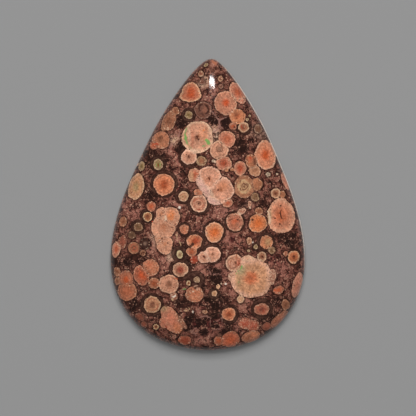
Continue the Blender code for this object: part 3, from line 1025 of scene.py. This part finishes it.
def unwrap(mesh, points, parts):
    """The face fills the left two thirds of the map, the back and the girdle the rest."""
    wall_start, back_start, stations = parts
    layer = mesh.uv_layers.new(name="OFBake")
    corner_points = np.empty(len(mesh.loops), np.int32)
    mesh.loops.foreach_get("vertex_index", corner_points)
    loop_total = np.empty(len(mesh.polygons), np.int32)
    mesh.polygons.foreach_get("loop_total", loop_total)
    polygon_of = np.repeat(np.arange(len(mesh.polygons)), loop_total)
    lowest = np.full(len(mesh.polygons), 10 ** 9)
    np.minimum.at(lowest, polygon_of, corner_points)
    highest = np.zeros(len(mesh.polygons), int)
    np.maximum.at(highest, polygon_of, corner_points)
    place = points[corner_points]
    face = (highest < wall_start)[polygon_of]
    back = (lowest >= back_start)[polygon_of]
    spot = np.empty((len(corner_points), 2))
    face_scale = 0.98 / 45.0
    spot[:, 0] = 0.01 + (place[:, 0] + 15.0) * face_scale
    spot[:, 1] = 0.01 + (place[:, 1] + 22.5) * face_scale
    back_scale = 0.30 / 31.0
    spot[back, 0] = 0.685 + (15.0 - place[back, 0]) * back_scale
    spot[back, 1] = 0.01 + (place[back, 1] + 22.5) * back_scale
    wall = ~(face | back)
    turns = np.zeros(len(points))
    turns[grid_border(FACE_CELLS, 0)] = np.arange(stations) / stations
    turns[wall_start:back_start] = np.tile(np.arange(stations), GIRDLE_ROWS + 1) / stations
    turns[grid_border(BACK_CELLS, back_start)] = np.arange(0, stations, 2) / stations
    turn = turns[corner_points]
    first_turn = np.full(len(mesh.polygons), 2.0)
    np.minimum.at(first_turn, polygon_of, turn)
    last_turn = np.zeros(len(mesh.polygons))
    np.maximum.at(last_turn, polygon_of, turn)
    wraps = (last_turn - first_turn > 0.5)[polygon_of]
    turn = np.where(wraps & (turn < 0.5), turn + 1.0, turn)
    middle = np.where(wraps, last_turn[polygon_of], first_turn[polygon_of])
    strips = 8
    strip = np.minimum(np.floor(middle * strips + 1e-6), strips - 1)
    strip_width = 0.30
    spot[wall, 0] = 0.685 + (turn * strips - strip)[wall] * strip_width
    down = np.hypot(0.0, place[:, 2])
    spot[wall, 1] = 0.475 + strip[wall] * 0.062 + down[wall] * 0.024
    layer.data.foreach_set("uv", spot.astype(np.float32).ravel())


class Web:
    """A material's nodes, added one call at a time."""

    def __init__(self, material):
        self.tree = material.node_tree

    def add(self, kind, links=None, **settings):
        node = self.tree.nodes.new(kind)
        for name, value in settings.items():
            setattr(node, name, value)
        for name, source in (links or {}).items():
            self.feed(node.inputs[name], source)
        return node

    def feed(self, socket, source):
        if isinstance(source, bpy.types.NodeSocket):
            self.tree.links.new(source, socket)
        elif source is not None:
            socket.default_value = source

    def sum(self, operation, first, second=0.5, third=None):
        node = self.add("ShaderNodeMath", {0: first, 1: second, 2: third}, operation=operation)
        return node.outputs[0]

    def step(self, value, low, high, start=0.0, end=1.0):
        """Start below low, end above high, and a smooth way between."""
        links = {"Value": value, "From Min": low, "From Max": high, "To Min": start, "To Max": end}
        return self.add("ShaderNodeMapRange", links, interpolation_type="SMOOTHSTEP").outputs[0]

    def mix(self, share, first, second, blend="MIX"):
        node = self.add("ShaderNodeMix", data_type="RGBA", blend_type=blend)
        self.feed(node.inputs[0], share)
        self.feed(node.inputs[6], first)
        self.feed(node.inputs[7], second)
        return node.outputs[2]

    def number(self, name):
        return self.add("ShaderNodeAttribute", attribute_name=name).outputs["Fac"]

    def vector(self, name):
        return self.add("ShaderNodeAttribute", attribute_name=name).outputs["Vector"]

    def tint(self, name):
        return self.add("ShaderNodeAttribute", attribute_name=name).outputs["Color"]

    def noise(self, place, scale, detail=2.0, rough=0.5):
        links = {"Vector": place, "Scale": scale, "Detail": detail, "Roughness": rough}
        return self.add("ShaderNodeTexNoise", links).outputs["Fac"]

    def cells(self, place, scale, feature="F1", random=1.0):
        links = {"Vector": place, "Scale": scale, "Randomness": random}
        return self.add("ShaderNodeTexVoronoi", links, feature=feature).outputs["Distance"]


def flat(red, green, blue):
    return tuple(colour(red, green, blue)) + (1.0,)


def ground_colour(web, place, margin, halo, collar):
    """Near-black cells between mauve and maroon veins, with pale grains and dark halos."""
    fine = web.noise(place, 1.75, 3.0, 0.62)
    grit = web.noise(place, 4.4, 2.0, 0.6)
    bend = web.add("ShaderNodeTexNoise", {"Vector": place, "Scale": 1.3, "Detail": 4.0}).outputs["Color"]
    links = {0: bend, 1: (2.4, 2.4, 2.4), 2: place}
    pushed = web.add("ShaderNodeVectorMath", links, operation="MULTIPLY_ADD").outputs[0]
    lace = web.step(web.cells(pushed, 1.05, "DISTANCE_TO_EDGE"), 0.0, 0.20, 1.0, 0.0)
    bent = web.sum("MULTIPLY_ADD", web.sum("SUBTRACT", fine, 0.5), 3.0, web.number("gap"))
    bent = web.sum("MULTIPLY_ADD", web.sum("SUBTRACT", grit, 0.5), 1.2, bent)
    level = web.sum("MULTIPLY", web.step(bent, -0.1, 1.3, 1.0, 0.0), 0.42)
    level = web.sum("MULTIPLY_ADD", lace, 0.30, level)
    level = web.sum("MULTIPLY_ADD", web.step(fine, 0.38, 0.62), 0.34, level)
    level = web.sum("MULTIPLY_ADD", web.sum("SUBTRACT", grit, 0.5), 0.60, level)
    level = web.sum("ADD", level, web.number("lift"))
    tone = web.mix(web.step(level, 0.27, 0.47), flat(40, 20, 15), web.tint("ground_dark"))
    tone = web.mix(web.step(level, 0.54, 0.88), tone, web.tint("ground_light"))
    strand = web.sum("ABSOLUTE", web.sum("SUBTRACT", web.noise(place, 0.8, 3.0, 0.55), 0.5))
    strand = web.sum("MULTIPLY", web.step(strand, 0.004, 0.022, 1.0, 0.0), web.step(level, 0.12, 0.5, 0.15, 0.85))
    tone = web.mix(strand, tone, flat(172, 118, 98))
    shifted = web.add("ShaderNodeVectorMath", {0: place, 1: (31.0, 17.0, 5.0)}, operation="ADD").outputs[0]
    crack = web.sum("ABSOLUTE", web.sum("SUBTRACT", web.noise(shifted, 0.9, 3.0, 0.55), 0.5))
    tone = web.mix(web.step(crack, 0.006, 0.032, 0.95, 0.0), tone, flat(34, 17, 12))
    grains = web.step(web.cells(place, 2.1), 0.16, 0.34, 1.0, 0.0)
    grains = web.sum("MULTIPLY", grains, web.step(level, 0.25, 0.60, 0.0, 0.72))
    grains = web.sum("MULTIPLY", grains, web.step(web.noise(place, 0.9, 3.0), 0.42, 0.54))
    tone = web.mix(grains, tone, flat(204, 156, 130))
    in_collar = web.step(collar, -0.04, 0.10, 0.0, 0.85)
    ringed = web.sum("ABSOLUTE", web.sum("SUBTRACT", collar, 0.08))
    ringed = web.step(ringed, 0.03, 0.15, 0.65, 0.0)
    ring_tone = web.mix(web.step(fine, 0.36, 0.64), flat(52, 31, 25), flat(98, 66, 54))
    tone = web.mix(in_collar, tone, ring_tone)
    tone = web.mix(ringed, tone, flat(32, 17, 12))
    away = web.sum("DIVIDE", web.sum("MULTIPLY", margin, -1.0), halo)
    ring = web.step(away, 0.25, 1.0, 0.82, 0.26)
    ring = web.sum("MULTIPLY", ring, web.step(away, 1.0, 2.5, 1.0, 0.0))
    ring = web.sum("MULTIPLY", ring, web.step(grit, 0.35, 0.65, 1.08, 0.72))
    return web.mix(ring, tone, flat(48, 24, 16))


def orb_colour(web, place, margin, reach, local):
    """From core to body to rim, with rays, rings, beads, flecks and tiny dark pits."""
    fine = web.noise(place, 3.0, 3.0, 0.75)
    soft = web.noise(place, 1.1, 3.0, 0.55)
    wander = web.sum("MULTIPLY_ADD", web.sum("SUBTRACT", soft, 0.5), 0.36, reach)
    wander = web.sum("MULTIPLY_ADD", web.sum("SUBTRACT", fine, 0.5), 0.20, wander)
    core_share = web.number("core_share")
    inner = web.sum("MULTIPLY", core_share, 0.3)
    outer = web.sum("MULTIPLY", core_share, 1.45)
    tone = web.mix(web.step(wander, inner, outer), web.tint("core"), web.tint("body"))
    near = web.sum("MULTIPLY_ADD", web.sum("SUBTRACT", fine, 0.5), 0.40, margin)
    across_rim = web.sum("DIVIDE", near, web.number("rim_width"))
    on_rim = web.sum("MULTIPLY", web.step(across_rim, 0.2, 1.1, 1.0, 0.0), web.step(soft, 0.35, 0.6, 0.5, 1.0))
    tone = web.mix(on_rim, tone, web.tint("rim"))
    banded = web.number("banded")
    line = web.step(web.sum("ABSOLUTE", web.sum("SUBTRACT", across_rim, 1.35)), 0.1, 0.5, 1.0, 0.0)
    tone = web.mix(web.sum("MULTIPLY", line, web.sum("MULTIPLY", banded, 6.0)), tone, flat(112, 62, 44))
    rays = web.noise(local, 5.5, 3.0, 0.7)
    light = web.step(rays, 0.35, 0.65, 0.84, 1.17)
    blotch = web.step(web.noise(place, 0.5, 2.0, 0.6), 0.36, 0.64, 0.88, 1.12)
    light = web.sum("MULTIPLY", light, blotch)
    bands = web.sum("SINE", web.sum("MULTIPLY", wander, 21.0))
    light = web.sum("MULTIPLY", light, web.sum("MULTIPLY_ADD", bands, banded, 1.0))
    light = web.sum("MULTIPLY", light, web.step(fine, 0.36, 0.64, 0.77, 1.25))
    grey = web.add("ShaderNodeCombineColor", {0: light, 1: light, 2: light}).outputs[0]
    tone = web.mix(1.0, tone, grey, "MULTIPLY")
    fleck = web.step(web.noise(place, 3.6, 2.0, 0.6), 0.50, 0.62)
    fleck = web.sum("MULTIPLY", fleck, web.number("flecked"))
    tone = web.mix(fleck, tone, flat(216, 174, 146))
    beside_rim = web.step(web.sum("ABSOLUTE", web.sum("SUBTRACT", margin, 0.14)), 0.05, 0.24, 1.0, 0.0)
    beads = web.step(web.cells(place, 2.7), 0.18, 0.32, 0.75, 0.0)
    tone = web.mix(web.sum("MULTIPLY", beads, beside_rim), tone, flat(222, 182, 152))
    shifted = web.add("ShaderNodeVectorMath", {0: place, 1: (7.3, 4.1, 2.0)}, operation="ADD").outputs[0]
    nibs = web.step(web.cells(shifted, 2.9), 0.18, 0.32, 0.8, 0.0)
    nibs = web.sum("MULTIPLY", nibs, web.step(core_share, 0.20, 0.32, 0.12, 1.0))
    tone = web.mix(web.sum("MULTIPLY", nibs, beside_rim), tone, flat(92, 50, 38))
    pits = web.step(web.cells(place, 1.35), 0.08, 0.18, 1.0, 0.0)
    pits = web.sum("MULTIPLY", pits, web.step(web.noise(place, 0.9), 0.47, 0.53))
    return web.mix(web.sum("MULTIPLY", pits, 0.85), tone, flat(78, 36, 26))


def jasper():
    material = bpy.data.materials.new("polished_jasper")
    material.use_nodes = True
    web = Web(material)
    shader = web.tree.nodes["Principled BSDF"]
    coordinates = web.add("ShaderNodeTexCoord").outputs["Object"]
    place = web.add("ShaderNodeVectorMath", {0: coordinates, "Scale": 1.0 / MM}, operation="SCALE").outputs[0]
    margin = web.number("margin")
    ragged = web.sum("SUBTRACT", web.noise(place, 2.5, 3.0, 0.62), 0.5)
    torn = web.sum("MULTIPLY_ADD", ragged, 0.40, margin)
    collar = web.sum("MULTIPLY_ADD", ragged, 0.45, web.number("collar"))
    ground = ground_colour(web, place, torn, web.number("halo"), collar)
    orb = orb_colour(web, place, torn, web.number("reach"), web.vector("local"))
    tone = web.mix(web.step(torn, -0.03, 0.04), ground, orb)
    mark = web.sum("MULTIPLY_ADD", ragged, 0.30, web.number("mark"))
    tone = web.mix(web.step(mark, -0.05, 0.06, 0.0, 0.9), tone, web.tint("mark_tone"))
    # The bevel round the face is painted near white, most of all on the right: a painted reflection along the
    # edge. The same mask also makes the bevel rougher.
    edge = web.number("edge")
    painted_edge_sheen = web.sum("MULTIPLY", edge, web.step(ragged, -0.3, 0.1, 0.7, 1.0))
    tone = web.mix(painted_edge_sheen, tone, flat(240, 230, 218))
    web.tree.links.new(tone, shader.inputs["Base Color"])
    shine = web.step(web.noise(place, 1.6, 2.0), 0.3, 0.7, 0.07, 0.13)
    shine = web.sum("MULTIPLY_ADD", edge, 0.35, shine)
    web.tree.links.new(shine, shader.inputs["Roughness"])
    shader.inputs["IOR"].default_value = 1.54
    pits = web.step(web.cells(place, 1.9), 0.03, 0.10)
    bump = web.add("ShaderNodeBump", {"Height": pits, "Strength": 0.10, "Distance": 0.00002})
    web.tree.links.new(bump.outputs[0], shader.inputs["Normal"])
    return material


def matt_edge_and_painted_sheen(points, depth):
    """Where the narrow bevel round the face is rougher and painted near white, a painted reflection along the
    edge: most of all on the right.
    """
    round_edge = np.clip(depth / 0.12, 0.0, 1.0) * np.clip((points[:, 2] - 1.2) / 0.2, 0.0, 1.0)
    right = np.clip(points[:, 0] / 5.0, 0.0, 1.0) * np.clip((points[:, 1] + 10.0) / 4.0, 0.0, 1.0)
    return round_edge * (0.16 + 0.84 * right)


def make_stone():
    points, faces, depth, parts = stone_mesh()
    mesh = bpy.data.meshes.new("jasper_stone")
    mesh.from_pydata((points * MM).tolist(), [], faces)
    mesh.update()
    reach, margin, local, table = orb_fields(points, depth)
    core, body, rim, core_share, rim_width, halo, flecked, banded = table
    mark, mark_tone = mark_fields(points, depth)
    add_number(mesh, "reach", reach)
    add_number(mesh, "margin", margin)
    add_vector(mesh, "local", local)
    add_number(mesh, "core_share", core_share)
    add_number(mesh, "rim_width", rim_width)
    add_number(mesh, "halo", halo)
    add_number(mesh, "flecked", flecked)
    add_number(mesh, "banded", banded)
    add_number(mesh, "mark", mark)
    add_colour(mesh, "mark_tone", mark_tone)
    add_number(mesh, "collar", collar_margin(points, depth))
    # The edge mask: a painted reflection on the bevel round the face, and a rougher bevel.
    add_number(mesh, "edge", matt_edge_and_painted_sheen(points, depth))
    add_colour(mesh, "core", bloomed(points, depth, colour_rows(core)))
    add_colour(mesh, "body", bloomed(points, depth, colour_rows(body)))
    add_colour(mesh, "rim", bloomed(points, depth, colour_rows(rim)))
    dark, light, lift = ground_tones(points, depth)
    add_number(mesh, "lift", lift)
    add_number(mesh, "gap", cell_gap(points, depth, points[depth <= 0.0]))
    add_colour(mesh, "ground_dark", dark)
    add_colour(mesh, "ground_light", light)
    unwrap(mesh, points, parts)
    mesh.shade_smooth()
    mesh.set_sharp_from_angle(angle=SHARP_EDGE)
    mesh.materials.append(jasper())
    stone = bpy.data.objects.new("jasper_stone", mesh)
    bpy.context.scene.collection.objects.link(stone)
    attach(stone, "root")
    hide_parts("cabochon")
    return stone


def colour_rows(rows):
    shares = rows / 255.0
    return np.where(shares <= 0.04045, shares / 12.92, ((shares + 0.055) / 1.055) ** 2.4)


def make_floor():
    half = 3.0
    mesh = bpy.data.meshes.new("floor")
    corners = [(-half, -half, 0.0), (half, -half, 0.0), (half, half, 0.0), (-half, half, 0.0)]
    mesh.from_pydata(corners, [], [(0, 1, 2, 3)])
    material = bpy.data.materials.new("pale_paper")
    material.use_nodes = True
    shader = material.node_tree.nodes["Principled BSDF"]
    shader.inputs["Base Color"].default_value = FLOOR_COLOUR
    shader.inputs["Roughness"].default_value = 0.9
    shader.inputs["Specular IOR Level"].default_value = 0.1
    mesh.materials.append(material)
    floor = bpy.data.objects.new("floor", mesh)
    bpy.context.scene.collection.objects.link(floor)


FLOOR_COLOUR = (0.287, 0.287, 0.287, 1.0)

# Lights: how far each leans from straight overhead and towards which compass bearing (0 is
# the tip's side, 90 the right), its distance and size in metres, its strength, and whether
# it lights the scene or only shows in the polish.
LIGHTS = {
    "soft_key": (32.0, 0.0, 1.20, (0.64, 0.64), 11.95, "diffuse"),
    "overhead": (0.0, 0.0, 1.20, (0.48, 0.48), 4.05, "diffuse"),
    "glint": (40.0, 5.0, 0.60, (0.23, 0.064), 1.2, "mirror"),
}


def make_lights():
    world = bpy.data.worlds.new("studio")
    world.use_nodes = True
    world.node_tree.nodes["Background"].inputs["Color"].default_value = (0.09, 0.09, 0.09, 1.0)
    bpy.context.scene.world = world
    for name, (lean, bearing, distance, size, watts, task) in LIGHTS.items():
        lamp = bpy.data.lights.new(name, "AREA")
        lamp.shape = "RECTANGLE"
        lamp.size, lamp.size_y = size
        lamp.energy = watts
        light = bpy.data.objects.new(name, lamp)
        lean, bearing = math.radians(lean), math.radians(bearing)
        way = Vector((math.sin(lean) * math.sin(bearing), math.sin(lean) * math.cos(bearing), math.cos(lean)))
        light.location = way * distance
        light.rotation_euler = way.to_track_quat("Z", "Y").to_euler()
        light.visible_glossy = task == "mirror"
        light.visible_diffuse = task == "diffuse"
        bpy.context.scene.collection.objects.link(light)


# The camera looks straight down. The stone's middle is a little right of and above the
# middle of the frame, and its tip leans a little to the right.
FRAME_PIXELS = 416.0
PIXELS_PER_MM = 6.477
MIDDLE_RIGHT_PIXELS = 0.8
MIDDLE_UP_PIXELS = 3.5
LEAN = math.radians(1.1)
LENS_MM = 120.0
SENSOR_MM = 36.0
OUTLINE_HEIGHT = 1.6


def make_camera():
    camera_data = bpy.data.cameras.new("camera")
    camera_data.lens = LENS_MM
    camera_data.sensor_width = SENSOR_MM
    camera = bpy.data.objects.new("camera", camera_data)
    width = FRAME_PIXELS / PIXELS_PER_MM
    height = OUTLINE_HEIGHT + width * LENS_MM / SENSOR_MM
    right = -MIDDLE_RIGHT_PIXELS / PIXELS_PER_MM
    up = -MIDDLE_UP_PIXELS / PIXELS_PER_MM
    across = right * math.cos(LEAN) - up * math.sin(LEAN)
    along = right * math.sin(LEAN) + up * math.cos(LEAN)
    camera.location = (across * MM, along * MM, height * MM)
    camera.rotation_euler = (0.0, 0.0, LEAN)
    bpy.context.scene.collection.objects.link(camera)
    bpy.context.scene.camera = camera


make_stone()
make_floor()
make_lights()
make_camera()
bpy.context.scene.view_settings.view_transform = "Standard"
